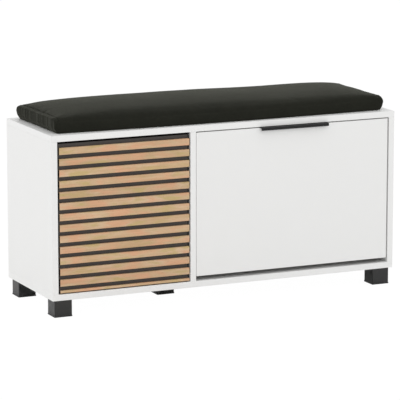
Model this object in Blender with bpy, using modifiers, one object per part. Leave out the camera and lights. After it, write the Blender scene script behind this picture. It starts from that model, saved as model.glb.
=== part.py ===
"""Entryway bench: a white cabinet on square feet with a slatted door on the left,
a tilt-out shoe flap on the right and a seat cushion on top.

Metres, +Z up, the front faces -Y. The origin is under the middle of the bench, on the floor."""

import math

import bmesh
import bpy

# ---- driving dimensions -------------------------------------------------------------------
WIDTH = 0.980
DEPTH = 0.320
CARCASS_HEIGHT = 0.425
FOOT_HEIGHT = 0.0448
BOARD = 0.016
BACK_BOARD = 0.003
DOOR_OPENING = 0.368         # clear width of the left compartment
CONTACT = 0.0003             # gap kept between pieces that touch
BOARD_EDGE = 0.0004          # tiny rounding of the boards' edges

FOOT_SIZE = 0.048
FOOT_INSET = 0.0075
MIDDLE_FOOT_X = 0.375        # middle foot's centre, from the left side
MIDDLE_FOOT_Y = 0.1615       # and from the front

DOOR_SIDE_GAP = 0.0025
FLAP_LEFT_GAP = 0.0012
FLAP_RIGHT_GAP = 0.0038
DOOR_TOP_GAP = 0.004
FLAP_TOP_GAP = 0.0027
DOOR_BOTTOM_GAP = 0.003
FLAP_BOTTOM_GAP = 0.0125     # room for the flap's lower edge as it swings down

DOOR_BOARD = 0.0147
SLAT_DEPTH = 0.007
SLAT_HEIGHT = 0.0175
SLAT_PITCH = 0.02828
SLAT_TOP_STRIP = 0.0120      # bare board above the first slat
SLAT_COUNT = 14              # the last one is cut by the door's lower edge
SLAT_LEFT_MARGIN = 0.0024    # bare board beside the slats' left ends
SLAT_RIGHT_MARGIN = 0.0006

CUP_RADIUS = 0.0175
CUP_DEPTH = 0.0115
CUP_WALL = 0.001
CUP_FLANGE = 0.020
CUP_RIM = 0.0012
CUP_FROM_EDGE = 0.0225       # cup centre from the door's hinge edge
HINGE_FROM_END = 0.075       # hinge centres from the compartment's floor and ceiling

SHELF_Z = 0.245
SHELF_DEPTH = 0.268
PIN_RADIUS = 0.0025
PIN_HOLE_DEPTH = 0.0095

FLAP_RECESS = 0.0005
PIVOT_BEHIND = 0.024         # tilt axis behind the flap's front face
PIVOT_ABOVE = 0.029          # tilt axis above the flap's lower edge
TILT_RANGE = 40.0            # degrees
BRACKET_GAP = 0.008          # bracket's outer face from the cabinet's wall
BRACKET = 0.004
RACK_BOARD = 0.004
TILT_PIN_RADIUS = 0.004
PEG_RADIUS = 0.003
PEG_ORBIT = 0.140            # stop peg's distance from the tilt axis
PEG_ANGLE = 50.0             # and its direction, up from straight back

HANDLE_LENGTH = 0.196
HANDLE_PROUD = 0.011
HANDLE_DROP = 0.0078
HANDLE_PLATE = 0.0012
HANDLE_LIP = 0.002
HANDLE_LEG = 0.016
SCREW_RADIUS = 0.0017
SCREW_HEAD = 0.0035

CUSHION_WIDTH = 0.952
CUSHION_DEPTH = 0.2985
CUSHION_HEIGHT = 0.054
CUSHION_FROM_FRONT = 0.0095

# ---- levels worked out from them ----------------------------------------------------------
LEFT = -WIDTH / 2
RIGHT = WIDTH / 2
FRONT = -(DEPTH - HANDLE_PROUD) / 2
BACK = FRONT + DEPTH
FLOOR_TOP = FOOT_HEIGHT + BOARD
CEILING = FOOT_HEIGHT + CARCASS_HEIGHT - BOARD
TOP = FOOT_HEIGHT + CARCASS_HEIGHT
BOARD_BACK = BACK - BACK_BOARD - CONTACT
DOOR_LEFT_WALL = LEFT + BOARD
DIVIDER_LEFT = DOOR_LEFT_WALL + DOOR_OPENING
DIVIDER_RIGHT = DIVIDER_LEFT + BOARD
FLAP_RIGHT_WALL = RIGHT - BOARD

DOOR_X = (DOOR_LEFT_WALL + DOOR_SIDE_GAP, DIVIDER_LEFT - DOOR_SIDE_GAP)
DOOR_Z = (FLOOR_TOP + DOOR_BOTTOM_GAP, CEILING - DOOR_TOP_GAP)
DOOR_BOARD_FRONT = FRONT + SLAT_DEPTH + CONTACT
DOOR_BACK = DOOR_BOARD_FRONT + DOOR_BOARD
HINGE_HEIGHTS = {"lower": FLOOR_TOP + HINGE_FROM_END, "upper": CEILING - HINGE_FROM_END}

FLAP_X = (DIVIDER_RIGHT + FLAP_LEFT_GAP, FLAP_RIGHT_WALL - FLAP_RIGHT_GAP)
FLAP_Z = (FLOOR_TOP + FLAP_BOTTOM_GAP, CEILING - FLAP_TOP_GAP)
FLAP_FRONT = FRONT + FLAP_RECESS
FLAP_BACK = FLAP_FRONT + BOARD
PIVOT_Y = FLAP_FRONT + PIVOT_BEHIND
PIVOT_Z = FLAP_Z[0] + PIVOT_ABOVE
HANDLE_X = sum(FLAP_X) / 2

for old in list(bpy.data.objects):
    bpy.data.objects.remove(old, do_unlink=True)

PARTS = bpy.data.collections.new("entryway_bench")
CUTTERS = bpy.data.collections.new("cutters")
bpy.context.scene.collection.children.link(PARTS)
bpy.context.scene.collection.children.link(CUTTERS)


# ---- materials ----------------------------------------------------------------------------
def material(name, colour, roughness, metallic=0.0):
    made = bpy.data.materials.new(name)
    made.use_nodes = True
    shader = made.node_tree.nodes["Principled BSDF"]
    shader.inputs["Base Color"].default_value = (*colour, 1.0)
    shader.inputs["Roughness"].default_value = roughness
    shader.inputs["Metallic"].default_value = metallic
    return made


WHITE = material("white_board", (0.82, 0.82, 0.80), 0.45)
OAK = material("oak_slat", (0.55, 0.38, 0.23), 0.55)
DARK_BOARD = material("dark_board", (0.030, 0.028, 0.027), 0.6)
PALE_BACK = material("back_board", (0.74, 0.73, 0.70), 0.6)
FOOT_PLASTIC = material("foot_plastic", (0.035, 0.035, 0.034), 0.5)
BLACK_METAL = material("black_metal", (0.02, 0.02, 0.02), 0.4, 0.6)
STEEL = material("steel", (0.55, 0.55, 0.54), 0.32, 1.0)
RACK_PLASTIC = material("rack_plastic", (0.60, 0.60, 0.58), 0.5)
CUSHION_CLOTH = material("cushion_cloth", (0.02, 0.02, 0.019), 0.9)


# ---- modelling helpers --------------------------------------------------------------------
def add_object(name, data, finish, location=(0.0, 0.0, 0.0), rotation=(0.0, 0.0, 0.0)):
    made = bpy.data.objects.new(name, data)
    PARTS.objects.link(made)
    made.location = location
    made.rotation_euler = rotation
    if finish:
        data.materials.append(finish)
    return made


def box(name, finish, x, y, z, edge=0.0, rotation=(0.0, 0.0, 0.0)):
    """A board between two corners, with its object's origin at its middle."""
    size = (x[1] - x[0], y[1] - y[0], z[1] - z[0])
    shape = bmesh.new()
    bmesh.ops.create_cube(shape, size=1.0)
    bmesh.ops.scale(shape, vec=size, verts=shape.verts)
    mesh = bpy.data.meshes.new(name)
    shape.to_mesh(mesh)
    shape.free()
    centre = tuple(sum(pair) / 2 for pair in (x, y, z))
    made = add_object(name, mesh, finish, centre, rotation)
    if edge:
        rounding = made.modifiers.new("edges", "BEVEL")
        rounding.width = edge
        rounding.segments = 1
    return made


def turned(name, finish, profile, location, rotation=(0.0, 0.0, 0.0), steps=28, closed=False):
    """A turned piece. The profile is (radius, height), outer side running downwards."""
    mesh = bpy.data.meshes.new(name)
    points = [(radius, 0.0, height) for radius, height in profile]
    edges = [(i, i + 1) for i in range(len(points) - 1)]
    if closed:
        edges.append((len(points) - 1, 0))
    mesh.from_pydata(points, edges, [])
    made = add_object(name, mesh, finish, location, rotation)
    spin = made.modifiers.new("turn", "SCREW")
    spin.axis = "Z"
    spin.steps = steps
    spin.render_steps = steps
    spin.use_merge_vertices = True
    spin.merge_threshold = 0.00005
    return made


def filleted(corners, radius, steps=4):
    """An outline's points with each corner replaced by an arc of the given radius."""
    points = []
    count = len(corners)
    for i, (cx, cy) in enumerate(corners):
        px, py = corners[i - 1]
        nx, ny = corners[(i + 1) % count]
        a = math.atan2(py - cy, px - cx)
        b = math.atan2(ny - cy, nx - cx)
        turn = (b - a + math.pi) % (2 * math.pi) - math.pi
        half = abs(turn) / 2
        reach = radius / math.tan(half)
        middle = a + turn / 2
        ox = cx + math.cos(middle) * radius / math.sin(half)
        oy = cy + math.sin(middle) * radius / math.sin(half)
        start = math.atan2(cy + math.sin(a) * reach - oy, cx + math.cos(a) * reach - ox)
        end = math.atan2(cy + math.sin(b) * reach - oy, cx + math.cos(b) * reach - ox)
        sweep = (end - start + math.pi) % (2 * math.pi) - math.pi
        for k in range(steps + 1):
            at = start + sweep * k / steps
            points.append((ox + radius * math.cos(at), oy + radius * math.sin(at)))
    return points


def circle(x, y, radius, count=28):
    return [(x + radius * math.cos(2 * math.pi * i / count),
             y + radius * math.sin(2 * math.pi * i / count)) for i in range(count)]


def arc_slot(orbit, low, high, half_width, steps=14):
    """A slot along an arc about the outline's zero point, between two angles in degrees."""
    points = []
    low, high = math.radians(low), math.radians(high)
    for k in range(steps + 1):
        at = low + (high - low) * k / steps
        points.append(((orbit + half_width) * math.cos(at), (orbit + half_width) * math.sin(at)))
    for k in range(1, 6):
        at = high + math.pi * k / 6
        points.append((orbit * math.cos(high) + half_width * math.cos(at),
                       orbit * math.sin(high) + half_width * math.sin(at)))
    for k in range(steps + 1):
        at = high - (high - low) * k / steps
        points.append(((orbit - half_width) * math.cos(at), (orbit - half_width) * math.sin(at)))
    for k in range(1, 6):
        at = low + math.pi + math.pi * k / 6
        points.append((orbit * math.cos(low) + half_width * math.cos(at),
                       orbit * math.sin(low) + half_width * math.sin(at)))
    return points


def flat_shape(name, finish, outlines, thickness, location, rotation):
    """A flat plate from an outline and the holes in it, made a mesh with its caps welded."""
    curve = bpy.data.curves.new(name + "_outline", "CURVE")
    curve.dimensions = "2D"
    curve.fill_mode = "BOTH"
    curve.extrude = thickness / 2
    for points in outlines:
        spline = curve.splines.new("POLY")
        spline.points.add(len(points) - 1)
        for point, (x, y) in zip(spline.points, points):
            point.co = (x, y, 0.0, 1.0)
        spline.use_cyclic_u = True
    outline = add_object(name + "_outline", curve, None, location, rotation)
    bpy.context.view_layer.update()
    evaluated = outline.evaluated_get(bpy.context.evaluated_depsgraph_get())
    mesh = bpy.data.meshes.new_from_object(evaluated)
    mesh.name = name
    shape = bmesh.new()
    shape.from_mesh(mesh)
    bmesh.ops.remove_doubles(shape, verts=shape.verts, dist=0.00001)
    bmesh.ops.recalc_face_normals(shape, faces=shape.faces)
    shape.to_mesh(mesh)
    shape.free()
    mesh.materials.clear()
    made = add_object(name, mesh, finish)
    made.matrix_world = outline.matrix_world.copy()
    bpy.data.objects.remove(outline, do_unlink=True)
    return made


def as_cutter(tool):
    PARTS.objects.unlink(tool)
    CUTTERS.objects.link(tool)
    tool.hide_render = True
    tool.display_type = "WIRE"
    return tool


def combine(body, tool, operation):
    """Cut a tool out of a piece, or join it on."""
    as_cutter(tool)
    step = body.modifiers.new(tool.name, "BOOLEAN")
    step.operation = operation
    step.object = tool


def drill(body, name, radius, start, axis, length, count=24):
    """A round hole from a point, along an axis of the room."""
    turn = {"x": (0.0, math.pi / 2, 0.0), "y": (-math.pi / 2, 0.0, 0.0), "z": (0.0, 0.0, 0.0)}
    tool = turned(name, None, [(0.0, length), (radius, length), (radius, 0.0), (0.0, 0.0)],
                  start, turn[axis], count)
    combine(body, tool, "DIFFERENCE")


# ---- cabinet ------------------------------------------------------------------------------
def cabinet():
    y = (FRONT, BOARD_BACK)
    inner_z = (FLOOR_TOP + CONTACT, CEILING - CONTACT)
    box("top_panel", WHITE, (LEFT, RIGHT), y, (CEILING, TOP), BOARD_EDGE)
    box("bottom_panel", WHITE, (LEFT, RIGHT), y, (FOOT_HEIGHT, FLOOR_TOP), BOARD_EDGE)
    left = box("side_panel_left", WHITE, (LEFT, DOOR_LEFT_WALL), y, inner_z, BOARD_EDGE)
    box("side_panel_right", WHITE, (FLAP_RIGHT_WALL, RIGHT), y, inner_z, BOARD_EDGE)
    divider = box("divider_panel", WHITE, (DIVIDER_LEFT, DIVIDER_RIGHT), y, inner_z, BOARD_EDGE)
    margin = 0.003
    box("back_panel", PALE_BACK, (LEFT + margin, RIGHT - margin), (BACK - BACK_BOARD, BACK),
        (FOOT_HEIGHT + margin, TOP - margin))
    return left, divider


def shelf(left_side, divider):
    """A loose shelf on pins in the wall of the left compartment."""
    front = BOARD_BACK - 0.012 - SHELF_DEPTH
    x = (DOOR_LEFT_WALL + 0.001, DIVIDER_LEFT - 0.001)
    box("shelf", WHITE, x, (front, front + SHELF_DEPTH), (SHELF_Z, SHELF_Z + BOARD), BOARD_EDGE)
    head_radius = 0.0035
    head_length = 0.008
    pin_z = SHELF_Z - CONTACT - head_radius
    for place, y in (("front", front + 0.040), ("rear", front + SHELF_DEPTH - 0.040)):
        for wall, wall_x, inward in ((left_side, DOOR_LEFT_WALL, 1), (divider, DIVIDER_LEFT, -1)):
            side = "left" if inward > 0 else "right"
            name = f"shelf_pin_{place}_{side}"
            profile = [(0.0, head_length), (head_radius, head_length), (head_radius, CONTACT),
                       (PIN_RADIUS, CONTACT), (PIN_RADIUS, -0.009), (0.0, -0.009)]
            turned(name, STEEL, profile, (wall_x, y, pin_z), (0.0, inward * math.pi / 2, 0.0), 20)
            start = wall_x - PIN_HOLE_DEPTH if inward > 0 else wall_x - 0.001
            drill(wall, name + "_hole", PIN_RADIUS + CONTACT, (start, y, pin_z), "x",
                  PIN_HOLE_DEPTH + 0.001, 20)


def feet():
    near = FOOT_INSET + FOOT_SIZE / 2
    depth = DEPTH - 0.003
    spots = {
        "front_left": (near, near), "front_right": (WIDTH - near, near),
        "rear_left": (near, depth - near), "rear_right": (WIDTH - near, depth - near),
        "middle": (MIDDLE_FOOT_X, MIDDLE_FOOT_Y),
    }
    half = FOOT_SIZE / 2
    for name, (x, y) in spots.items():
        box(f"foot_{name}", FOOT_PLASTIC, (LEFT + x - half, LEFT + x + half),
            (FRONT + y - half, FRONT + y + half), (0.0, FOOT_HEIGHT - CONTACT), 0.0012)


# ---- slatted door -------------------------------------------------------------------------
def door():
    """A dark board with slats across its face, held shut by a magnet catch."""
    board = box("door_board", DARK_BOARD, DOOR_X, (DOOR_BOARD_FRONT, DOOR_BACK), DOOR_Z,
                BOARD_EDGE)
    slat_x = (DOOR_X[0] + SLAT_LEFT_MARGIN, DOOR_X[1] - SLAT_RIGHT_MARGIN)
    for i in range(SLAT_COUNT):
        high = DOOR_Z[1] - SLAT_TOP_STRIP - i * SLAT_PITCH
        low = max(high - SLAT_HEIGHT, DOOR_Z[0])
        box(f"slat_{i + 1:02d}", OAK, slat_x, (FRONT, FRONT + SLAT_DEPTH), (low, high), 0.0007)
    strike_x = (DOOR_X[1] - 0.028, DOOR_X[1] - 0.012)
    catch_z = CEILING - 0.050
    box("strike_plate", STEEL, strike_x, (DOOR_BACK + CONTACT, DOOR_BACK + 0.0015),
        (catch_z - 0.020, catch_z + 0.020))
    box("magnet_catch", RACK_PLASTIC, (DIVIDER_LEFT - 0.030, DIVIDER_LEFT - CONTACT),
        (DOOR_BACK + 0.0020, DOOR_BACK + 0.0170), (catch_z - 0.024, catch_z + 0.024), 0.0015)
    return board


def hinge(board, which, z):
    """A concealed hinge: the cup sits in the door, its arm and plate on the cabinet's side."""
    cup_x = DOOR_X[0] + CUP_FROM_EDGE
    height = CUP_DEPTH + CONTACT + CUP_RIM
    profile = [(0.0, CUP_WALL), (CUP_RADIUS - CUP_WALL, CUP_WALL),
               (CUP_RADIUS - CUP_WALL, height), (CUP_FLANGE, height),
               (CUP_FLANGE, height - CUP_RIM), (CUP_RADIUS, height - CUP_RIM),
               (CUP_RADIUS, 0.0), (0.0, 0.0)]
    turned(f"hinge_cup_{which}", STEEL, profile, (cup_x, DOOR_BACK - CUP_DEPTH, z),
           (-math.pi / 2, 0.0, 0.0), 32)
    drill(board, f"cup_bore_{which}", CUP_RADIUS + CONTACT,
          (cup_x, DOOR_BACK - CUP_DEPTH - CONTACT, z), "y", CUP_DEPTH + 0.002, 32)
    wall = DOOR_LEFT_WALL
    behind = FRONT
    corners = [(wall + 0.0042, behind + 0.082), (wall + 0.0042, behind + 0.046),
               (wall + 0.018, behind + 0.0255), (wall + 0.033, behind + 0.0255),
               (wall + 0.033, behind + 0.031), (wall + 0.0215, behind + 0.0315),
               (wall + 0.0142, behind + 0.047), (wall + 0.0142, behind + 0.082)]
    flat_shape(f"hinge_arm_{which}", STEEL, [filleted(corners, 0.0012, 2)], 0.013,
               (0.0, 0.0, z), (0.0, 0.0, 0.0))
    box(f"hinge_plate_{which}", STEEL, (wall + CONTACT, wall + 0.0039),
        (behind + 0.050, behind + 0.078), (z - 0.024, z + 0.024), 0.0008)


# ---- tilt-out flap ------------------------------------------------------------------------
RACK_BOARDS = {
    # each board from its front edge to its rear edge, as (behind, above) the tilt axis
    "rack_floor_lower": ((-0.0060, -0.0160), (0.2020, -0.0290)),
    "rack_back_lower": ((0.2060, -0.0280), (0.2140, 0.0950)),
    "rack_floor_upper": ((-0.0060, 0.1660), (0.1600, 0.1530)),
    "rack_back_upper": ((0.1640, 0.1550), (0.1720, 0.2700)),
}


def rack_board(name, start, end, x):
    length = math.dist(start, end)
    slope = math.atan2(end[1] - start[1], end[0] - start[0])
    middle_y = PIVOT_Y + (start[0] + end[0]) / 2
    middle_z = PIVOT_Z + (start[1] + end[1]) / 2
    return box(name, PALE_BACK, x, (middle_y - length / 2, middle_y + length / 2),
               (middle_z - RACK_BOARD / 2, middle_z + RACK_BOARD / 2), 0.0, (slope, 0.0, 0.0))


def bracket(side):
    """The moulded side of the shoe rack, with two flanges on the flap and a slot for the stop peg."""
    inward = 1 if side == "left" else -1
    wall = DIVIDER_RIGHT if side == "left" else FLAP_RIGHT_WALL
    outer = wall + inward * BRACKET_GAP
    inner = outer + inward * BRACKET
    front = FLAP_BACK - PIVOT_Y + CONTACT
    corners = [(front, -0.024), (0.030, -0.030), (0.222, -0.036), (0.222, 0.100),
               (0.184, 0.150), (0.184, 0.276), (0.150, 0.292), (front, 0.302)]
    slot = arc_slot(PEG_ORBIT, PEG_ANGLE - TILT_RANGE, PEG_ANGLE, PEG_RADIUS + 0.0004)
    pin_hole = circle(0.0, 0.0, TILT_PIN_RADIUS + CONTACT, 24)
    # the outline's x and y become the room's y and z
    stand = (math.pi / 2, 0.0, math.pi / 2)
    plate = flat_shape(f"rack_bracket_{side}", RACK_PLASTIC,
                       [filleted(corners, 0.006), slot, pin_hole], BRACKET,
                       ((outer + inner) / 2, PIVOT_Y, PIVOT_Z), stand)
    reach = tuple(sorted((inner - inward * 0.001, inner + inward * 0.018)))
    flange = box(f"flange_{side}", None, reach, (FLAP_BACK + CONTACT + 0.0001, FLAP_BACK + 0.0028),
                 (PIVOT_Z + 0.006, PIVOT_Z + 0.150))
    combine(plate, flange, "UNION")
    upper = box(f"flange_upper_{side}", None, reach,
                (FLAP_BACK + CONTACT + 0.0001, FLAP_BACK + 0.0028),
                (PIVOT_Z + 0.180, PIVOT_Z + 0.290))
    combine(plate, upper, "UNION")
    return inner


def tilt_hardware(side):
    """The bush and the pin the flap tilts on, and the peg that stops it."""
    inward = 1 if side == "left" else -1
    wall = DIVIDER_RIGHT if side == "left" else FLAP_RIGHT_WALL
    along = (0.0, inward * math.pi / 2, 0.0)
    bush = [(TILT_PIN_RADIUS + CONTACT, 0.0070), (0.0070, 0.0070), (0.0070, CONTACT),
            (TILT_PIN_RADIUS + CONTACT, CONTACT)]
    turned(f"pivot_bush_{side}", RACK_PLASTIC, bush, (wall, PIVOT_Y, PIVOT_Z), along, 28, True)
    head = BRACKET_GAP + BRACKET + CONTACT
    pin = [(0.0, head + 0.002), (0.0065, head + 0.002), (0.0065, head),
           (TILT_PIN_RADIUS, head), (TILT_PIN_RADIUS, 0.001), (0.0, 0.001)]
    turned(f"tilt_pin_{side}", STEEL, pin, (wall, PIVOT_Y, PIVOT_Z), along, 28)
    at = math.radians(PEG_ANGLE)
    peg = [(0.0, 0.015), (PEG_RADIUS, 0.015), (PEG_RADIUS, 0.003), (0.008, 0.003),
           (0.008, CONTACT), (0.0, CONTACT)]
    turned(f"stop_peg_{side}", STEEL, peg,
           (wall, PIVOT_Y + PEG_ORBIT * math.cos(at), PIVOT_Z + PEG_ORBIT * math.sin(at)),
           along, 24)


def flap():
    """The plain front panel and the two-tier shoe rack behind it."""
    panel = box("flap_panel", WHITE, FLAP_X, (FLAP_FRONT, FLAP_BACK), FLAP_Z, BOARD_EDGE)
    left = bracket("left") + CONTACT
    right = bracket("right") - CONTACT
    for name, (start, end) in RACK_BOARDS.items():
        behind_flange = 0.0100 if "floor" in name else 0.0
        rack_board(name, (start[0] + behind_flange, start[1]), end, (left, right))
    for side in ("left", "right"):
        tilt_hardware(side)
    return panel


def handle(panel):
    """A folded metal edge pull over the flap's top edge, screwed on from behind."""
    lip = FRONT - HANDLE_PROUD
    plate_top = FLAP_Z[1] + CONTACT + HANDLE_PLATE
    leg_front = FLAP_BACK + CONTACT
    leg_back = leg_front + HANDLE_PLATE
    corners = [(lip, plate_top), (lip, plate_top - HANDLE_DROP),
               (lip + HANDLE_LIP, plate_top - HANDLE_DROP),
               (lip + HANDLE_LIP, plate_top - HANDLE_PLATE),
               (leg_front, plate_top - HANDLE_PLATE), (leg_front, FLAP_Z[1] - HANDLE_LEG),
               (leg_back, FLAP_Z[1] - HANDLE_LEG), (leg_back, plate_top)]
    pull = flat_shape("flap_handle", BLACK_METAL, [filleted(corners, 0.0004, 2)], HANDLE_LENGTH,
                      (HANDLE_X, 0.0, 0.0), (math.pi / 2, 0.0, math.pi / 2))
    screw_z = FLAP_Z[1] - HANDLE_LEG / 2
    for side, x in (("left", HANDLE_X - 0.070), ("right", HANDLE_X + 0.070)):
        drill(pull, f"handle_hole_{side}", SCREW_RADIUS + CONTACT, (x, FLAP_BACK, screw_z), "y",
              0.003, 20)
        drill(panel, f"flap_hole_{side}", SCREW_RADIUS + CONTACT, (x, FLAP_BACK - 0.0125, screw_z),
              "y", 0.014, 20)
        head = leg_back + CONTACT - FLAP_BACK
        screw = [(0.0, head + 0.0015), (0.0020, head + 0.0015), (SCREW_HEAD, head + 0.0006),
                 (SCREW_HEAD, head), (SCREW_RADIUS, head), (SCREW_RADIUS, -0.011),
                 (0.0, -0.0122)]
        turned(f"handle_screw_{side}", STEEL, screw, (x, FLAP_BACK, screw_z),
               (-math.pi / 2, 0.0, 0.0), 20)


# ---- cushion ------------------------------------------------------------------------------
def cushion():
    """The seat pad, a plain rounded block."""
    front = FRONT + CUSHION_FROM_FRONT
    made = box("seat_cushion", CUSHION_CLOTH, (-CUSHION_WIDTH / 2, CUSHION_WIDTH / 2),
               (front, front + CUSHION_DEPTH), (TOP + CONTACT, TOP + CONTACT + CUSHION_HEIGHT))
    rounding = made.modifiers.new("soft_edges", "BEVEL")
    rounding.width = 0.016
    rounding.segments = 3


left_side, divider_panel = cabinet()
shelf(left_side, divider_panel)
feet()
door_board = door()
for which, height in HINGE_HEIGHTS.items():
    hinge(door_board, which, height)
flap_panel = flap()
handle(flap_panel)
cushion()
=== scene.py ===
import math

import bmesh
import bpy
from mathutils import Matrix, Vector, noise


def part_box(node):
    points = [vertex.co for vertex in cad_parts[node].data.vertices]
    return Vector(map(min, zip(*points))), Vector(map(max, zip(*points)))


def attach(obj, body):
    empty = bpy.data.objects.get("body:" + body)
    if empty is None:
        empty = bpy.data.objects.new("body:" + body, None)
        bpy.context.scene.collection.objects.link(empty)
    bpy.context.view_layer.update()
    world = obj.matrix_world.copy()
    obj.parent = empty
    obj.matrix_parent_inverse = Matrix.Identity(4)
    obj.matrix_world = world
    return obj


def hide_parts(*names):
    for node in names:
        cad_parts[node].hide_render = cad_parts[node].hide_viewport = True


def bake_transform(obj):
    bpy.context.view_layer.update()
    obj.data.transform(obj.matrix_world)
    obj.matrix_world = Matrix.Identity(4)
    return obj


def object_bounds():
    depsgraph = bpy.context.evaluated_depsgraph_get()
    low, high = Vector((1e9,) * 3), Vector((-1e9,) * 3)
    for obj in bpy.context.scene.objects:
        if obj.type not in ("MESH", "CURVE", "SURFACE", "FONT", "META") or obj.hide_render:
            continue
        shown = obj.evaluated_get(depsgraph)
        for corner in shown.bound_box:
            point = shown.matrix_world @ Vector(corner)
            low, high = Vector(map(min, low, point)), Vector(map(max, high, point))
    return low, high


# The looks of the entryway bench: rounded boards with banded edges, oak slats, moulded feet,
# a folded pull and a sewn, stuffed cushion, around the working frame.
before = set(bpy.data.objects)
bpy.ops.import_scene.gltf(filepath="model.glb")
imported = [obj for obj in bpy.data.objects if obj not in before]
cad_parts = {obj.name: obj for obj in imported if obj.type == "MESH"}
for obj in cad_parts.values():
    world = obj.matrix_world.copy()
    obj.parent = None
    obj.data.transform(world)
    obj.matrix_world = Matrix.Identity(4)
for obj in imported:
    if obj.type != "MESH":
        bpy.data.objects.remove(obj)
cad_low, cad_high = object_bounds()

# ---- sizes, in metres ---------------------------------------------------------------------
CONTACT = 0.0003             # gap that the frame leaves between boards that touch
MERGE = 0.000001             # points closer than this are one
BOARD_ROUND = 0.0006
BAND = 0.0010                # thickness of the band glued on a board's edge
GAP_SHADE_RIM = 0.0022                 # width of the black rim on the door board's faces: painted shade for the gap round the door
SLAT_ROUND = 0.0011
SLAT_PITCH = 0.02828         # from one slat to the next

FOOT_ROUND = 0.0022
FOOT_SOLE = 0.0034           # height of the flared sole
FOOT_FLARE = 0.0008          # how far the sole stands out
FOOT_GROOVE = 0.0006         # depth and height of the groove above the sole
SOLE_EDGE = 0.0006           # height of the sole's sloped edges
GLIDE_INSET = 0.0050         # from the foot's side to its felt glide
GLIDE_RECESS = 0.0004

PULL_PLATE = 0.0012          # thickness of the pull's sheet metal
PULL_LIP = 0.0020            # and of its hemmed front lip
PULL_DROP = 0.0078           # height of the lip
PULL_ROUND = 0.0008

LINK_THICKNESS = 0.0012      # sheet of a hinge's two links
LINK_ROUND = 0.0012
LINK_CUTS = 24               # cuts along a link's length
LINK_IN_ARM = 0.0012         # how far a link reaches into the hinge's arm
LINK_OVER_CUP = 0.0030       # and how far from the cup's bottom it ends

SCREW_INSET = 0.0065         # from the end of a hinge plate to its screw
COVER_INSET = 0.034          # from the divider's ends to the cam covers
COVER_FRONT = 0.062          # from the bench's front to the front covers
COVER_BACK = 0.050           # and from its back to the rear ones
NAIL_INSET = 0.0056          # from the back board's edges to its nails
NAIL_CORNER = 0.008          # from its sides to the first nails of its top and bottom rows
NAIL_STEPS = 9               # spaces between the nails of a row
NAIL_SIDE_INSET = 0.13       # from its top and bottom to the nails at its sides

CUSHION_EDGE = 0.0300        # height at the front and back edges
CUSHION_CROWN = 0.0235       # how much higher the middle is
FRONT_DOME = 0.75            # how soon it gets there from the front edge
REAR_DOME = 0.50             # and from the rear edge
END_RISE = 0.0045            # how much fuller the seams keep the two ends
SLUMP = 0.0045               # how much lower the stuffing lies right of the middle
SLUMP_PLACE = 0.50           # where that is, from the middle at 0 to the right end at 1
SLUMP_WIDTH = 0.32
FRONT_BOW = 0.0120           # how far the front comes out in the middle
REAR_BOW = 0.0070
CORNER_PULL = 0.0020         # how far the corners are drawn in
CORNER_START = 0.80          # where that starts, from the middle at 0 to the front or back at 1
CUSHION_ROLL = 0.0145        # radius of the rolled front and back edges
CUSHION_UNDER_ROLL = 0.0030  # and of the edges below them
SWELL = 0.0055               # the furthest that the cover swells
SWELL_FRAMES = 20
SWELL_PRESSURE = 4.0
END_BULGE = 0.0120           # how far the sewn ends stand out
FOLD_DEPTH = 0.0026          # gathers in the ends
PUCKER = 0.0300              # how far the gathers run in over the top
PUCKER_DEPTH = 0.0012
SEAM_DEPTH = 0.0012
UNEVENNESS = 0.0009          # slow hills and hollows in the top
THREAD = 0.0009              # pitch of the cushion's weave

# ---- camera and light ---------------------------------------------------------------------
CAMERA_PLACE = (-2.9272, -6.3291, 1.5805)
CAMERA_TURN = 24.762         # degrees to the right of straight ahead
CAMERA_PITCH = 10.873        # degrees downwards
CAMERA_LENS = 241.15         # millimetres, on a 36 mm sensor
FLOOR_REACH = 40.0           # metres from the middle of the floor to its edges


# ---- shader nodes -------------------------------------------------------------------------
def put(tree, value, socket):
    """Links a socket's value in, or sets a plain value."""
    if isinstance(value, bpy.types.NodeSocket):
        tree.links.new(value, socket)
    else:
        socket.default_value = value


def node(tree, kind, inputs=None, **settings):
    """Adds a shader node and links or sets its inputs."""
    made = tree.nodes.new("ShaderNode" + kind)
    for name, value in settings.items():
        setattr(made, name, value)
    for name, value in (inputs or {}).items():
        put(tree, value, made.inputs[name])
    return made


def maths(tree, operation, *values):
    """One step of arithmetic on plain values."""
    made = node(tree, "Math", operation=operation)
    for value, socket in zip(values, made.inputs):
        put(tree, value, socket)
    return made.outputs[0]


def scaled(tree, vector, by):
    """A place stretched by a factor along each axis."""
    return node(tree, "VectorMath", {0: vector, 1: by}, operation="MULTIPLY").outputs[0]


def mixed(tree, factor, first, second, blend="MIX"):
    """A mix of two colours, which are the seventh and eighth inputs of a Mix node."""
    made = node(tree, "Mix", data_type="RGBA", blend_type=blend)
    for value, place in ((factor, 0), (first, 6), (second, 7)):
        put(tree, value, made.inputs[place])
    return made.outputs[2]


def cloud(tree, vector, scale, detail=2.0, roughness=0.5):
    """Soft noise from 0 to 1."""
    inputs = {"Vector": vector, "Scale": scale, "Detail": detail, "Roughness": roughness}
    return node(tree, "TexNoise", inputs).outputs[0]


def spread(tree, value, low, high, to_low=0.0, to_high=1.0):
    """A value's range from low to high, stretched to another range and clamped to it."""
    inputs = {0: value, 1: low, 2: high, 3: to_low, 4: to_high}
    return node(tree, "MapRange", inputs).outputs[0]


def group(name, inputs, outputs):
    """An empty node group, its tree, its inputs' sockets and its outputs' sockets."""
    tree = bpy.data.node_groups.new(name, "ShaderNodeTree")
    for label, kind, value in inputs:
        made = tree.interface.new_socket(label, in_out="INPUT", socket_type="NodeSocket" + kind)
        if kind != "Vector":
            made.default_value = value
    for label, kind in outputs:
        tree.interface.new_socket(label, in_out="OUTPUT", socket_type="NodeSocket" + kind)
    return tree, tree.nodes.new("NodeGroupInput").outputs, tree.nodes.new("NodeGroupOutput").inputs


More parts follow.
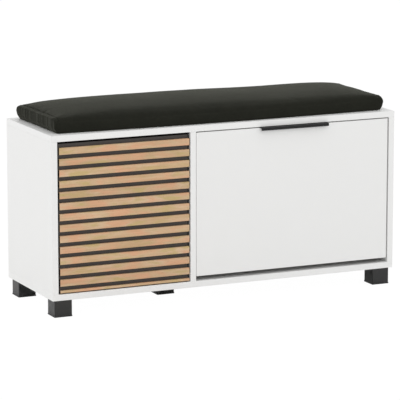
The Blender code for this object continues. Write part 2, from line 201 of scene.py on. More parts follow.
def grain_group():
    """Fine relief, a slow drift in shade and a slow drift in gloss, for any made surface."""
    tree, given, result = group(
        "surface_grain",
        [("Coordinates", "Vector", None), ("Fine Scale", "Float", 900.0),
         ("Broad Scale", "Float", 9.0), ("Shade Range", "Float", 0.04)],
        [("Shade", "Color"), ("Gloss Drift", "Float"), ("Height", "Float")])
    fine = cloud(tree, given["Coordinates"], given["Fine Scale"], 3.0, 0.55)
    broad = cloud(tree, given["Coordinates"], given["Broad Scale"], 4.0, 0.6)
    both = maths(tree, "ADD", maths(tree, "MULTIPLY", fine, 0.4), maths(tree, "MULTIPLY", broad, 0.6))
    drift = maths(tree, "MULTIPLY", maths(tree, "SUBTRACT", both, 0.5), given["Shade Range"])
    shade = maths(tree, "ADD", maths(tree, "MULTIPLY", drift, 2.0), 1.0)
    tree.links.new(shade, result["Shade"])
    tree.links.new(maths(tree, "SUBTRACT", broad, 0.5), result["Gloss Drift"])
    tree.links.new(fine, result["Height"])
    return tree


def oak_group():
    """Light oak with its grain along X. A slat's height picks its own stretch of the plank."""
    tree, given, result = group(
        "oak_grain",
        [("Coordinates", "Vector", None), ("First Slat", "Float", 0.44),
         ("Pitch", "Float", SLAT_PITCH)],
        [("Color", "Color"), ("Pores", "Float"), ("Height", "Float")])
    place = node(tree, "SeparateXYZ", {0: given["Coordinates"]}).outputs
    below = maths(tree, "SUBTRACT", given["First Slat"], place[2])
    row = maths(tree, "FLOOR", maths(tree, "DIVIDE", below, given["Pitch"]))
    plank = node(tree, "TexWhiteNoise", {"W": row}, noise_dimensions="1D").outputs
    shift = scaled(tree, plank["Color"], (3.0, 0.7, 0.9))
    here = node(tree, "VectorMath", {0: given["Coordinates"], 1: shift}, operation="ADD").outputs[0]
    patches = cloud(tree, scaled(tree, here, (9.0, 30.0, 34.0)), 1.0, 3.0, 0.55)
    blush = cloud(tree, scaled(tree, here, (16.0, 26.0, 60.0)), 1.0, 2.0, 0.5)
    rings = cloud(tree, scaled(tree, here, (7.0, 150.0, 230.0)), 1.0, 3.0, 0.6)
    fibres = cloud(tree, scaled(tree, here, (55.0, 900.0, 1300.0)), 1.0, 3.0, 0.6)
    pores = cloud(tree, scaled(tree, here, (160.0, 1900.0, 2600.0)), 1.0, 1.0, 0.5)
    tone = mixed(tree, spread(tree, patches, 0.36, 0.64), (0.60, 0.405, 0.225, 1.0),
                 (0.69, 0.495, 0.315, 1.0))
    tone = mixed(tree, spread(tree, blush, 0.48, 0.64, 0.0, 0.9), tone, (0.73, 0.400, 0.235, 1.0))
    tone = mixed(tree, spread(tree, blush, 0.46, 0.33, 0.0, 0.8), tone, (0.55, 0.42, 0.17, 1.0))
    tone = mixed(tree, spread(tree, rings, 0.45, 0.72, 0.0, 0.42), tone, (0.50, 0.30, 0.15, 1.0))
    tone = mixed(tree, spread(tree, fibres, 0.35, 0.70, 0.0, 0.22), tone, (0.46, 0.29, 0.16, 1.0))
    open_pore = spread(tree, pores, 0.62, 0.72)
    tone = mixed(tree, maths(tree, "MULTIPLY", open_pore, 0.45), tone, (0.30, 0.18, 0.09, 1.0))
    slat_shade = spread(tree, plank["Value"], 0.0, 1.0, 0.95, 1.05)
    tree.links.new(mixed(tree, 1.0, tone, slat_shade, "MULTIPLY"), result["Color"])
    tree.links.new(open_pore, result["Pores"])
    relief = maths(tree, "SUBTRACT", fibres, maths(tree, "MULTIPLY", open_pore, 0.7))
    tree.links.new(relief, result["Height"])
    return tree


def weave_group():
    """A plain weave over the piece's own map, in metres, with uneven threads."""
    tree, given, result = group(
        "cloth_weave",
        [("Coordinates", "Vector", None), ("Thread", "Float", THREAD)],
        [("Shade", "Color"), ("Height", "Float")])
    place = node(tree, "SeparateXYZ", {0: given["Coordinates"]}).outputs
    wobble = maths(tree, "MULTIPLY", cloud(tree, given["Coordinates"], 160.0), 1.6)
    turn = maths(tree, "DIVIDE", math.pi, given["Thread"])
    warp = maths(tree, "SINE", maths(tree, "ADD", maths(tree, "MULTIPLY", place[0], turn), wobble))
    weft = maths(tree, "SINE", maths(tree, "ADD", maths(tree, "MULTIPLY", place[1], turn), wobble))
    cross = maths(tree, "ABSOLUTE", maths(tree, "MULTIPLY", warp, weft))
    warp_slubs = cloud(tree, scaled(tree, given["Coordinates"], (60.0, 900.0, 1.0)), 1.0)
    weft_slubs = cloud(tree, scaled(tree, given["Coordinates"], (900.0, 60.0, 1.0)), 1.0)
    slubs = maths(tree, "ADD", warp_slubs, weft_slubs)
    broad = cloud(tree, given["Coordinates"], 14.0, 4.0)
    shade = maths(tree, "MULTIPLY", spread(tree, slubs, 0.7, 1.3, 0.78, 1.22),
                  spread(tree, broad, 0.3, 0.7, 0.90, 1.10))
    shade = maths(tree, "MULTIPLY", shade, spread(tree, cross, 0.0, 1.0, 0.82, 1.10))
    tree.links.new(shade, result["Shade"])
    tree.links.new(maths(tree, "ADD", cross, maths(tree, "MULTIPLY", slubs, 0.4)), result["Height"])
    return tree


GRAIN = grain_group()
OAK_GRAIN = oak_group()
WEAVE = weave_group()


# ---- materials ----------------------------------------------------------------------------
def blank(name, **values):
    """A new material with its shader's constants set on their own sockets."""
    made = bpy.data.materials.new(name)
    made.use_nodes = True
    shader = made.node_tree.nodes["Principled BSDF"]
    for label, value in values.items():
        shader.inputs[label.replace("_", " ")].default_value = value
    return made, made.node_tree, shader


def placed_group(tree, which, inputs):
    """Puts a node group in a material, with its inputs linked or set; returns its outputs."""
    made = tree.nodes.new("ShaderNodeGroup")
    made.node_tree = which
    for label, value in inputs.items():
        put(tree, value, made.inputs[label])
    return made.outputs


def surface(name, colour, roughness, fine, relief, shade=0.04, gloss=0.10, broad=9.0,
            stretch=(1.0, 1.0, 1.0), **values):
    """A material with fine relief and slow drifts in shade and gloss.

    fine and broad are the scales of the two patterns, relief is the height of the fine one in
    metres, and shade and gloss are the ranges of the drifts.
    """
    made, tree, shader = blank(name, **values)
    place = node(tree, "TexCoord").outputs["Object"]
    grain = placed_group(tree, GRAIN, {"Coordinates": scaled(tree, place, stretch),
                                       "Fine Scale": fine, "Broad Scale": broad,
                                       "Shade Range": shade})
    tone = mixed(tree, 1.0, (*colour, 1.0), grain["Shade"], "MULTIPLY")
    put(tree, tone, shader.inputs["Base Color"])
    drift = maths(tree, "MULTIPLY", grain["Gloss Drift"], gloss)
    put(tree, maths(tree, "ADD", drift, roughness), shader.inputs["Roughness"])
    bump = node(tree, "Bump", {"Height": grain["Height"], "Distance": relief, "Strength": 1.0})
    put(tree, bump.outputs[0], shader.inputs["Normal"])
    return made


def oak():
    """Light oak, a little rougher in its pores."""
    made, tree, shader = blank("light_oak", Specular_IOR_Level=0.35)
    place = node(tree, "TexCoord").outputs["Object"]
    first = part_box("slat_01")[1].z + SLAT_PITCH / 4
    grain = placed_group(tree, OAK_GRAIN, {"Coordinates": place, "First Slat": first,
                                           "Pitch": SLAT_PITCH})
    put(tree, grain["Color"], shader.inputs["Base Color"])
    put(tree, spread(tree, grain["Pores"], 0.0, 1.0, 0.52, 0.72), shader.inputs["Roughness"])
    bump = node(tree, "Bump", {"Height": grain["Height"], "Distance": 0.00006, "Strength": 1.0})
    put(tree, bump.outputs[0], shader.inputs["Normal"])
    return made


def cloth():
    """Charcoal cloth, woven over the cushion's own map, with a faint greenish sheen."""
    made, tree, shader = blank("charcoal_cloth", Specular_IOR_Level=0.12, Roughness=0.85,
                               Sheen_Weight=0.13, Sheen_Roughness=0.40,
                               Sheen_Tint=(0.80, 0.81, 0.66, 1.0))
    place = node(tree, "UVMap", uv_map="weave").outputs[0]
    weave = placed_group(tree, WEAVE, {"Coordinates": place, "Thread": THREAD})
    tone = mixed(tree, 1.0, (0.0152, 0.0158, 0.0112, 1.0), weave["Shade"], "MULTIPLY")
    put(tree, tone, shader.inputs["Base Color"])
    bump = node(tree, "Bump", {"Height": weave["Height"], "Distance": 0.00012, "Strength": 0.8})
    put(tree, bump.outputs[0], shader.inputs["Normal"])
    return made


MELAMINE = surface("white_melamine", (0.860, 0.860, 0.850), 0.40, 1300.0, 0.00002, 0.012)
EDGE_BAND = surface("white_edge_band", (0.870, 0.870, 0.860), 0.34, 700.0, 0.00001, 0.010)
OAK = oak()
# dark slat ends: painted shade for the gap round the door
SLAT_END_GAP_SHADE = surface("dark_slat_ends_painted_gap_shade", (0.030, 0.025, 0.021), 0.75, 900.0, 0.00008, 0.35)
# flat black with no reflection: the door board's own black edges, and painted shade for the gap round
# the door
BLACK_BAND_AND_GAP_SHADE = surface("black_edge_band_and_painted_gap_shade", (0.007, 0.006, 0.006), 0.90, 700.0, 0.00002, 0.15,
                    Specular_IOR_Level=0.0)
DARK_FOIL = surface("black_foil", (0.043, 0.036, 0.031), 0.50, 700.0, 0.00003, 0.25)
RAW_HARDBOARD = surface("raw_hardboard", (0.400, 0.285, 0.180), 0.80, 600.0, 0.00006, 0.10)
WHITE_HARDBOARD = surface("white_hardboard", (0.780, 0.775, 0.755), 0.50, 500.0, 0.00003, 0.03)
FOOT_PLASTIC = surface("black_foot_plastic", (0.006, 0.006, 0.0058), 0.30, 900.0, 0.00003, 0.15,
                       IOR=1.58)
FELT = surface("grey_felt", (0.090, 0.085, 0.080), 0.95, 1500.0, 0.0002, 0.45)
POWDER_COAT = surface("black_powder_coat", (0.008, 0.008, 0.008), 0.45, 1500.0, 0.00004, 0.15,
                      Specular_IOR_Level=0.32)
STEEL = surface("plated_steel", (0.62, 0.61, 0.59), 0.27, 1200.0, 0.00001, 0.08, 0.18,
                stretch=(1.0, 1.0, 0.12), Metallic=1.0)
RACK_PLASTIC = surface("grey_rack_plastic", (0.58, 0.58, 0.565), 0.46, 800.0, 0.00003, 0.05)
CLOTH = cloth()


# ---- modelling helpers --------------------------------------------------------------------
def finished(name, shape, body, materials, stands_for=(), flat_faces=True):
    """Turns a bmesh into a smooth-shaded object that rides on a body, if one is named.

    flat_faces keeps wide flat faces evenly lit beside their rounded edges.
    """
    bmesh.ops.recalc_face_normals(shape, faces=shape.faces)
    mesh = bpy.data.meshes.new(name)
    shape.to_mesh(mesh)
    shape.free()
    for each in materials:
        mesh.materials.append(each)
    mesh.shade_smooth()
    mesh.set_sharp_from_angle(angle=math.radians(40))
    made = bpy.data.objects.new(name, mesh)
    bpy.context.scene.collection.objects.link(made)
    if flat_faces:
        made.modifiers.new("flat faces", "WEIGHTED_NORMAL").keep_sharp = True
    if body:
        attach(made, body)
    if stands_for:
        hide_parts(*stands_for)
    return made


def block(shape, low, high):
    """A box between two corners."""
    verts = bmesh.ops.create_cube(shape, size=1.0)["verts"]
    bmesh.ops.scale(shape, vec=high - low, verts=verts)
    bmesh.ops.translate(shape, vec=(low + high) / 2, verts=verts)


def along(edge, axis):
    """Whether an edge runs along x, y or z."""
    return abs((edge.verts[1].co - edge.verts[0].co).normalized()["xyz".index(axis)]) > 0.99


def rounded(shape, edges, radius, segments=3):
    """Rounds some edges over."""
    bmesh.ops.bevel(shape, geom=edges, offset=radius, offset_type="OFFSET", affect="EDGES",
                    segments=segments, profile=0.5, material=-1, clamp_overlap=True)


def cut(shape, axis, level):
    """Cuts the faces that cross a plane square to axis 0, 1 or 2."""
    normal = Vector((0.0, 0.0, 0.0))
    normal[axis] = 1.0
    geom = shape.verts[:] + shape.edges[:] + shape.faces[:]
    bmesh.ops.bisect_plane(shape, geom=geom, dist=MERGE, plane_co=normal * level,
                           plane_no=normal)


def turned(shape, profile, place, towards, steps=24):
    """A turned piece: (radius, height) points spun about Z, then stood along a direction."""
    before = set(shape.verts)
    verts = [shape.verts.new((radius, 0.0, height)) for radius, height in profile]
    edges = [shape.edges.new(pair) for pair in zip(verts, verts[1:])]
    bmesh.ops.spin(shape, geom=verts + edges, cent=(0.0, 0.0, 0.0), axis=(0.0, 0.0, 1.0),
                   angle=2 * math.pi, steps=steps, use_merge=True)
    new = [vert for vert in shape.verts if vert not in before]
    bmesh.ops.remove_doubles(shape, verts=new, dist=MERGE)
    new = [vert for vert in shape.verts if vert not in before]
    stand = Vector(towards).to_track_quat("Z", "Y").to_matrix().to_4x4()
    bmesh.ops.transform(shape, matrix=Matrix.Translation(place) @ stand, verts=new)


# ---- boards -------------------------------------------------------------------------------
def board(name, banded, rounded_axes="xyz", reach=0.0, body="cabinet"):
    """A faced board with rounded edges and a glued band on some of them.

    banded names the banded edges, such as -y for the front one, and reach closes the frame's
    gap above and below the board.
    """
    low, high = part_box(name)
    low.z -= reach
    high.z += reach
    shape = bmesh.new()
    block(shape, low, high)
    edges = [edge for edge in shape.edges if any(along(edge, axis) for axis in rounded_axes)]
    rounded(shape, edges, BOARD_ROUND)
    for way, letter in banded:
        axis = "xyz".index(letter)
        level = low[axis] + BAND if way == "-" else high[axis] - BAND
        cut(shape, axis, level)
        for face in shape.faces:
            middle = face.calc_center_median()[axis]
            if (middle < level) if way == "-" else (middle > level):
                face.material_index = 1
    finished(name + "_faced", shape, body, (MELAMINE, EDGE_BAND), (name,))


def boards():
    """The white boards of the cabinet, its shelf and the flap."""
    for name in ("top_panel", "bottom_panel"):
        board(name, ("-y", "-x", "+x"))
    for name in ("side_panel_left", "side_panel_right", "divider_panel"):
        board(name, ("-y",), "z", CONTACT)
    board("shelf", ("-y",))
    board("flap_panel", ("-x", "+x", "-z", "+z"), body="flap")


def back_panel():
    """Thin hardboard: white inside, bare outside."""
    low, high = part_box("back_panel")
    shape = bmesh.new()
    block(shape, low, high)
    for face in shape.faces:
        if face.calc_center_median().y > low.y + CONTACT:
            face.material_index = 1
    finished("back_board", shape, "cabinet", (WHITE_HARDBOARD, RAW_HARDBOARD),
             ("back_panel",))


def slats():
    """Wrapped oak slats, rounded along their front edges, with dark ends that are painted shade for
    the gap round the door.
    """
    names = sorted(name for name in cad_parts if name.startswith("slat_"))
    for name in names:
        low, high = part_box(name)
        shape = bmesh.new()
        block(shape, low, high)
        front = [edge for edge in shape.edges
                 if along(edge, "x") and all(vert.co.y < low.y + CONTACT for vert in edge.verts)]
        rounded(shape, front, min(SLAT_ROUND, (high.z - low.z) / 3), 4)
        # the slats' ends get the dark colour that is painted shade for the gap round the door
        for face in shape.faces:
            face.material_index = int(abs(face.normal.x) > 0.9)
        finished(name + "_wrapped", shape, "door", (OAK, SLAT_END_GAP_SHADE), (name,))


def door_panel():
    """The dark board behind the slats, with its hinge cups' bores and a black rim all round: the
    board's own black edges, and painted shade for the gap round the door.
    """
    low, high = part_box("door_board")
    shape = bmesh.new()
    shape.from_mesh(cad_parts["door_board"].data)
    bmesh.ops.remove_doubles(shape, verts=shape.verts, dist=MERGE)
    bmesh.ops.dissolve_limit(shape, angle_limit=math.radians(0.5), verts=shape.verts,
                             edges=shape.edges)
    # a black rim round the board's faces: painted shade for the gap round the door
    for axis in (0, 2):
        for level in (low[axis] + GAP_SHADE_RIM, high[axis] - GAP_SHADE_RIM):
            cut(shape, axis, level)
    for face in shape.faces:
        middle = face.calc_center_median()
        beside = min(middle.x - low.x, high.x - middle.x) < GAP_SHADE_RIM
        above = min(middle.z - low.z, high.z - middle.z) < GAP_SHADE_RIM
        face.material_index = int(beside or above)
    finished("door_board_banded_and_gap_shaded", shape, "door", (DARK_FOIL, BLACK_BAND_AND_GAP_SHADE),
             ("door_board",))


# ---- feet ---------------------------------------------------------------------------------
def foot(name):
    """A square moulded foot on a flared sole with a felt glide."""
    low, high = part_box(name)
    centre = (low + high) / 2
    half = (high.x - low.x) / 2
    shape = bmesh.new()
    block(shape, Vector((low.x, low.y, FOOT_SOLE + FOOT_GROOVE)), high)
    rounded(shape, [edge for edge in shape.edges if along(edge, "z")], FOOT_ROUND, 5)
    under = min(shape.faces, key=lambda face: face.calc_center_median().z)
    # from the foot's underside down to the glide: half the width, and how far it goes up
    steps = ((half - FOOT_GROOVE, 0.0),
             (half - FOOT_GROOVE, -FOOT_GROOVE),
             (half + FOOT_FLARE * 0.6, 0.0),
             (half + FOOT_FLARE, -SOLE_EDGE),
             (half + FOOT_FLARE, 2 * SOLE_EDGE - FOOT_SOLE),
             (half + FOOT_FLARE * 0.4, -SOLE_EDGE),
             (half - GLIDE_INSET, 0.0),
             (half - GLIDE_INSET, GLIDE_RECESS))
    width = half
    for reach, rise in steps:
        made = bmesh.ops.extrude_face_region(shape, geom=[under])["geom"]
        bmesh.ops.delete(shape, geom=[under], context="FACES_ONLY")
        under = next(item for item in made if isinstance(item, bmesh.types.BMFace))
        ratio = reach / width
        width = reach
        bmesh.ops.scale(shape, vec=(ratio, ratio, 1.0), verts=under.verts,
                        space=Matrix.Translation((-centre.x, -centre.y, 0.0)))
        bmesh.ops.translate(shape, vec=(0.0, 0.0, rise), verts=under.verts)
    under.material_index = 1
    finished(name + "_moulded", shape, "cabinet", (FOOT_PLASTIC, FELT), (name,))


# ---- pull ---------------------------------------------------------------------------------
def pull():
    """The folded edge pull: a lip in front, a plate over the flap and a leg behind it."""
    low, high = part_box("flap_handle")
    inner_y = low.y + PULL_LIP
    under_z = high.z - PULL_PLATE
    leg_y = high.y - PULL_PLATE
    outline = [(low.y, high.z), (low.y, high.z - PULL_DROP), (inner_y, high.z - PULL_DROP),
               (inner_y, under_z), (leg_y, under_z), (leg_y, low.z), (high.y, low.z),
               (high.y, high.z)]
    shape = bmesh.new()
    face = shape.faces.new([shape.verts.new((low.x, y, z)) for y, z in outline])
    made = bmesh.ops.extrude_face_region(shape, geom=[face], use_keep_orig=True)["geom"]
    far = [item for item in made if isinstance(item, bmesh.types.BMVert)]
    bmesh.ops.translate(shape, vec=(high.x - low.x, 0.0, 0.0), verts=far)
    bmesh.ops.recalc_face_normals(shape, faces=shape.faces)
    outer = [edge for edge in shape.edges if along(edge, "x")
             and edge.verts[0].co.y < low.y + CONTACT]
    rounded(shape, outer, PULL_ROUND, 4)
    finished("flap_pull", shape, "flap", (POWDER_COAT,), ("flap_handle",))


# ---- small fittings -----------------------------------------------------------------------
def hinge_links(which):
    """The two steel links of a concealed hinge, set between its arm and its cup."""
    arm_low, arm_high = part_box("hinge_arm_" + which)
    cup_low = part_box("hinge_cup_" + which)[0]
    z = (arm_low.z + arm_high.z) / 2
    start = Vector((0.0, arm_low.y + LINK_IN_ARM, z))
    end = Vector((0.0, cup_low.y + LINK_OVER_CUP, z))
    half = LINK_THICKNESS / 2
    # each link's side, its place across the arm and its width
    links = (("inner", arm_high.x - 0.0075, 0.0096),
             ("outer", arm_low.x + 0.0140, 0.0060))
    for side, x, width in links:
        shape = bmesh.new()
        block(shape, Vector((x - half, end.y, z - width / 2)),
              Vector((x + half, start.y, z + width / 2)))
        rounded(shape, [edge for edge in shape.edges if along(edge, "x")], LINK_ROUND)
        lengths = [edge for edge in shape.edges if along(edge, "y")]
        bmesh.ops.subdivide_edges(shape, edges=lengths, cuts=LINK_CUTS, use_grid_fill=True)
        made = finished(f"hinge_link_{side}_{which}", shape, None, (STEEL,))
        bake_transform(made)


def hinge_screws():
    """Two pan-head screws in each hinge plate."""
    head = [(0.0, 0.0006), (0.0010, 0.0012), (0.0022, 0.0019), (0.0033, 0.0011), (0.0036, 0.0)]
    shape = bmesh.new()
    for which in ("lower", "upper"):
        low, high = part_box("hinge_plate_" + which)
        for z in (low.z + SCREW_INSET, high.z - SCREW_INSET):
            turned(shape, head, (high.x, (low.y + high.y) / 2, z), (1.0, 0.0, 0.0), 20)
    finished("hinge_screws", shape, "cabinet", (STEEL,), flat_faces=False)


def cam_covers():
    """Round covers over the fittings that join the upright boards to the others."""
    cover = [(0.0, 0.0008), (0.0070, 0.0008), (0.0080, 0.0004), (0.0083, 0.0)]
    divider_low, divider_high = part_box("divider_panel")
    walls = ((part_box("side_panel_left")[1].x, 1.0), (divider_low.x, -1.0),
             (divider_high.x, 1.0), (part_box("side_panel_right")[0].x, -1.0))
    shape = bmesh.new()
    for x, way in walls:
        for y in (cad_low.y + COVER_FRONT, cad_high.y - COVER_BACK):
            for z in (divider_low.z + COVER_INSET, divider_high.z - COVER_INSET):
                turned(shape, cover, (x, y, z), (way, 0.0, 0.0), 28)
    finished("cam_covers", shape, "cabinet", (EDGE_BAND,), flat_faces=False)


def back_nails():
    """Nails round the back board's edges and into the divider."""
    head = [(0.0, 0.0004), (0.0013, 0.0003), (0.0017, 0.0)]
    low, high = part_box("back_panel")
    divider_low, divider_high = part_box("divider_panel")
    shape = bmesh.new()
    for step in range(NAIL_STEPS + 1):
        x = low.x + NAIL_CORNER + (high.x - low.x - 2 * NAIL_CORNER) * step / NAIL_STEPS
        for z in (low.z + NAIL_INSET, high.z - NAIL_INSET):
            turned(shape, head, (x, high.y, z), (0.0, 1.0, 0.0), 10)
    for z in (low.z + NAIL_SIDE_INSET, high.z - NAIL_SIDE_INSET):
        middle = (divider_low.x + divider_high.x) / 2
        for x in (low.x + NAIL_INSET, middle, high.x - NAIL_INSET):
            turned(shape, head, (x, high.y, z), (0.0, 1.0, 0.0), 10)
    finished("back_nails", shape, "cabinet", (STEEL,), flat_faces=False)


# ---- cushion ------------------------------------------------------------------------------
# how often the cushion's grid is cut along each axis
CUTS = {"x": 127, "y": 63, "z": 11}
# the gathers sewn into an end: place from its middle, depth (below 0 for a ridge), half width
GATHERS = ((-0.121, 0.5, 0.0034), (-0.090, 0.4, 0.0060), (-0.070, 0.7, 0.0038),
           (-0.062, -0.6, 0.0034), (-0.055, 0.8, 0.0030), (-0.042, 0.7, 0.0030),
           (-0.034, -0.8, 0.0036), (-0.026, 0.6, 0.0032), (-0.003, 0.5, 0.0040),
           (0.005, -0.6, 0.0030), (0.011, 0.7, 0.0026), (0.017, -0.8, 0.0030),
           (0.026, 0.5, 0.0044), (0.047, 0.8, 0.0034), (0.056, -1.0, 0.0044),
           (0.066, 0.9, 0.0040), (0.085, 0.6, 0.0040), (0.100, 0.9, 0.0034),
           (0.109, -0.7, 0.0030), (0.117, 0.9, 0.0030), (0.126, -0.6, 0.0030))


def cushion_form(place, low, high):
    """Where a point of the gridded box lies on the stuffed cushion before it swells.

    s, t and h run from -1 to 1: along the bench, from front to back and from bottom to top.
    """
    s, t, h = place
    middle = (low + high) / 2
    length = (high.x - low.x) / 2 - END_BULGE
    depth = (high.y - low.y) / 2 - (FRONT_BOW if t < 0.0 else REAR_BOW) * s * s
    dome = max(0.0, 1.0 - t * t) ** (FRONT_DOME if t < 0.0 else REAR_DOME)
    slump = SLUMP * math.exp(-((s - SLUMP_PLACE) / SLUMP_WIDTH) ** 2)
    height = CUSHION_EDGE + END_RISE * s ** 6
    height += (CUSHION_CROWN * (1.0 - s ** 8) - slump) * dome
    y = depth * t
    z = height / 2 * h
    roll = CUSHION_ROLL if h > 0.0 else CUSHION_UNDER_ROLL
    inner_y = max(-(depth - roll), min(depth - roll, y))
    inner_z = max(-(height / 2 - roll), min(height / 2 - roll, z))
    away = Vector((0.0, y - inner_y, z - inner_z))
    if away.length > 0.0:
        away = away.normalized() * roll
    corner = max(0.0, abs(t) - CORNER_START) / (1.0 - CORNER_START)
    x = s * (length - CORNER_PULL * corner * corner)
    if abs(s) > 0.999:
        # an end bulges in a curve from seam to seam, a little less at its corners
        x += math.copysign(END_BULGE * (1.0 - h * h) * (1.0 - 0.10 * t ** 6), s)
    return Vector((middle.x + x, middle.y + inner_y + away.y,
                   low.z + height / 2 + inner_z + away.z))


def cushion_blank():
    """A gridded box that keeps each point's place from -1 to 1, with the weave's map on it."""
    low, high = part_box("seat_cushion")
    size = high - low
    shape = bmesh.new()
    bmesh.ops.create_cube(shape, size=2.0)
    for axis, cuts in CUTS.items():
        edges = [edge for edge in shape.edges if along(edge, axis)]
        bmesh.ops.subdivide_edges(shape, edges=edges, cuts=cuts, use_grid_fill=True)
    weave = shape.loops.layers.uv.new("weave")
    for face in shape.faces:
        across = max(range(3), key=lambda axis: abs(face.normal[axis]))
        for loop in face.loops:
            x, y, z = (half * whole / 2 for half, whole in zip(loop.vert.co, size))
            loop[weave].uv = {0: (y, z), 1: (x, z), 2: (x, y)}[across]
    mark = shape.verts.layers.float_vector.new("mark")
    for vert in shape.verts:
        vert[mark] = vert.co
        vert.co = cushion_form(vert.co, low, high)
    return shape


def swell(made):
    """Inflates the cover as cloth for a few frames and keeps a capped part of its motion."""
    start = [vert.co.copy() for vert in made.data.vertices]
    middle_z = sum(point.z for point in start) / len(start)
    cloth_step = made.modifiers.new("swelling", "CLOTH")
    settings = cloth_step.settings
    settings.quality = 6
    settings.mass = 0.3
    settings.use_pressure = True
    settings.uniform_pressure_force = SWELL_PRESSURE
    settings.tension_stiffness = 25.0
    settings.compression_stiffness = 25.0
    settings.bending_stiffness = 1.5
    settings.effector_weights.gravity = 0.0
    cloth_step.point_cache.frame_end = SWELL_FRAMES
    scene = bpy.context.scene
    for number in range(1, SWELL_FRAMES + 1):
        scene.frame_set(number)
    seen = made.evaluated_get(bpy.context.evaluated_depsgraph_get())
    moved = [vert.co.copy() for vert in seen.data.vertices]
    made.modifiers.remove(cloth_step)
    scene.frame_set(1)
    for vert, old, new in zip(made.data.vertices, start, moved):
        motion = new - old
        if old.z < middle_z:
            motion.z = min(0.0, motion.z)
        if motion.length > 0.0:
            motion *= SWELL * math.tanh(motion.length / SWELL) / motion.length
        vert.co = old + motion


def refined(made):
    """Subdivides the cover once, for good."""
    soften = made.modifiers.new("soft folds", "SUBSURF")
    soften.levels = 1
    soften.render_levels = 1
    seen = made.evaluated_get(bpy.context.evaluated_depsgraph_get())
    made.data = bpy.data.meshes.new_from_object(seen)
    made.modifiers.remove(soften)


def gathered(across):
    """Depth of the gathers in a sewn end at a place across it."""
    return sum(depth * math.exp(-((across - middle) / width) ** 2)
               for middle, depth, width in GATHERS)


def sew(made, low, high):
    """Draws the gathers, the end seams and slow unevenness into the cover."""
    middle_y = (low.y + high.y) / 2
    marks = made.data.attributes["mark"].data
    for vert, mark in zip(made.data.vertices, marks):
        s, t, h = mark.vector
        point = vert.co
        fold = gathered(math.copysign(1.0, -s) * (point.y - middle_y))
        from_end = (1.0 - abs(s)) * (high.x - low.x) / 2
        if abs(s) > 0.999:
            point.x -= math.copysign(FOLD_DEPTH * fold * (0.65 + 0.35 * h), s)
            seam = (abs(t) > 0.999, abs(h) > 0.999)
            if any(seam):
                point.x -= math.copysign(SEAM_DEPTH, s)
                point.y -= math.copysign(SEAM_DEPTH, t) * seam[0]
                point.z -= math.copysign(SEAM_DEPTH, h) * seam[1]
        elif from_end < PUCKER:
            pull = (1.0 - from_end / PUCKER) ** 2 * (1.0 - abs(t) ** 8)
            point.z -= math.copysign(PUCKER_DEPTH * fold * pull, h)
        wave = noise.noise(Vector((point.x * 9.0, point.y * 14.0, point.z * 10.0)))
        point.z += UNEVENNESS * wave * max(0.0, h)
        point.z = max(point.z, low.z)


def cushion():
    """The sewn, stuffed cushion, swollen and then gathered at its ends."""
    low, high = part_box("seat_cushion")
    made = finished("cushion_cover", cushion_blank(), "cabinet", (CLOTH,),
                    ("seat_cushion",), flat_faces=False)
    swell(made)
    refined(made)
    sew(made, low, high)
    made.data.attributes.remove(made.data.attributes["mark"])
    made.data.shade_smooth()


# ---- carried-over pieces ------------------------------------------------------------------
FINISHES = (
    (STEEL, ("hinge_", "tilt_pin_", "stop_peg_", "shelf_pin_", "handle_screw_", "strike_plate")),
    (RACK_PLASTIC, ("rack_bracket_", "pivot_bush_", "magnet_catch")),
    (WHITE_HARDBOARD, ("rack_floor_", "rack_back_")),
)


def refinish():
    """Gives every piece kept from the frame its real finish."""
    for finish, starts in FINISHES:
        for name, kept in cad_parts.items():
            if name.startswith(starts):
                kept.data.materials.clear()
                kept.data.materials.append(finish)


# ---- studio -------------------------------------------------------------------------------
def camera():
    """Looks at the bench from its front left, a little above it."""
    data = bpy.data.cameras.new("camera")
    data.lens = CAMERA_LENS
    data.sensor_width = 36.0
    made = bpy.data.objects.new("camera", data)
    made.location = CAMERA_PLACE
    made.rotation_euler = (math.radians(90.0 - CAMERA_PITCH), 0.0, math.radians(-CAMERA_TURN))
    bpy.context.scene.collection.objects.link(made)
    bpy.context.scene.camera = made


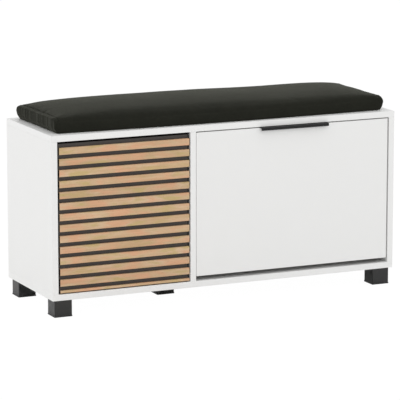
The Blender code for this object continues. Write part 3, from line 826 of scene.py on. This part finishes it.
def floor():
    """A plain white floor. It looks evenly lit, and the bench still gets its real bounce."""
    shape = bmesh.new()
    bmesh.ops.create_grid(shape, x_segments=1, y_segments=1, size=FLOOR_REACH)
    mesh = bpy.data.meshes.new("floor")
    shape.to_mesh(mesh)
    shape.free()
    made = bpy.data.objects.new("floor", mesh)
    made.location.z = -CONTACT
    bpy.context.scene.collection.objects.link(made)
    paint = bpy.data.materials.new("white_floor")
    paint.use_nodes = True
    tree = paint.node_tree
    tree.nodes.clear()
    matt = node(tree, "BsdfDiffuse", {"Color": (0.94, 0.94, 0.94, 1.0)}).outputs[0]
    lit = node(tree, "Emission", {"Color": (1.0, 1.0, 1.0, 1.0), "Strength": 1.02}).outputs[0]
    # the camera sees the floor's own light and a trace of its shading
    seen = maths(tree, "MULTIPLY", node(tree, "LightPath").outputs["Is Camera Ray"], 0.97)
    both = node(tree, "MixShader", {0: seen, 1: matt, 2: lit}).outputs[0]
    tree.links.new(both, node(tree, "OutputMaterial").inputs["Surface"])
    mesh.materials.append(paint)


def softbox(name, place, aim, size, power):
    """A soft rectangular lamp aimed at a point."""
    data = bpy.data.lights.new(name, "AREA")
    data.shape = "RECTANGLE"
    data.size = size[0]
    data.size_y = size[1]
    data.energy = power
    made = bpy.data.objects.new(name, data)
    made.location = place
    made.rotation_euler = (Vector(aim) - Vector(place)).to_track_quat("-Z", "Y").to_euler()
    bpy.context.scene.collection.objects.link(made)


def studio():
    """A white surround, three softboxes and the floor."""
    world = bpy.data.worlds.new("studio")
    world.use_nodes = True
    world.node_tree.nodes["Background"].inputs["Color"].default_value = (1.0, 1.0, 1.0, 1.0)
    world.node_tree.nodes["Background"].inputs["Strength"].default_value = 0.83
    bpy.context.scene.world = world
    bench_middle = (0.0, 0.0, 0.3)
    softbox("left_softbox", (-4.0, 1.6, 2.0), bench_middle, (2.5, 2.5), 24.0)
    softbox("front_softbox", (0.4, -5.0, 2.6), bench_middle, (2.5, 1.5), 20.0)
    softbox("overhead_softbox", (-0.5, -1.6, 3.2), bench_middle, (3.0, 2.0), 8.0)
    bpy.context.scene.view_settings.view_transform = "Standard"
    floor()


camera()
refinish()
boards()
back_panel()
slats()
door_panel()
for foot_name in sorted(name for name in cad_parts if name.startswith("foot_")):
    foot(foot_name)
pull()
for hinge_place in ("lower", "upper"):
    hinge_links(hinge_place)
hinge_screws()
cam_covers()
back_nails()
cushion()
studio()
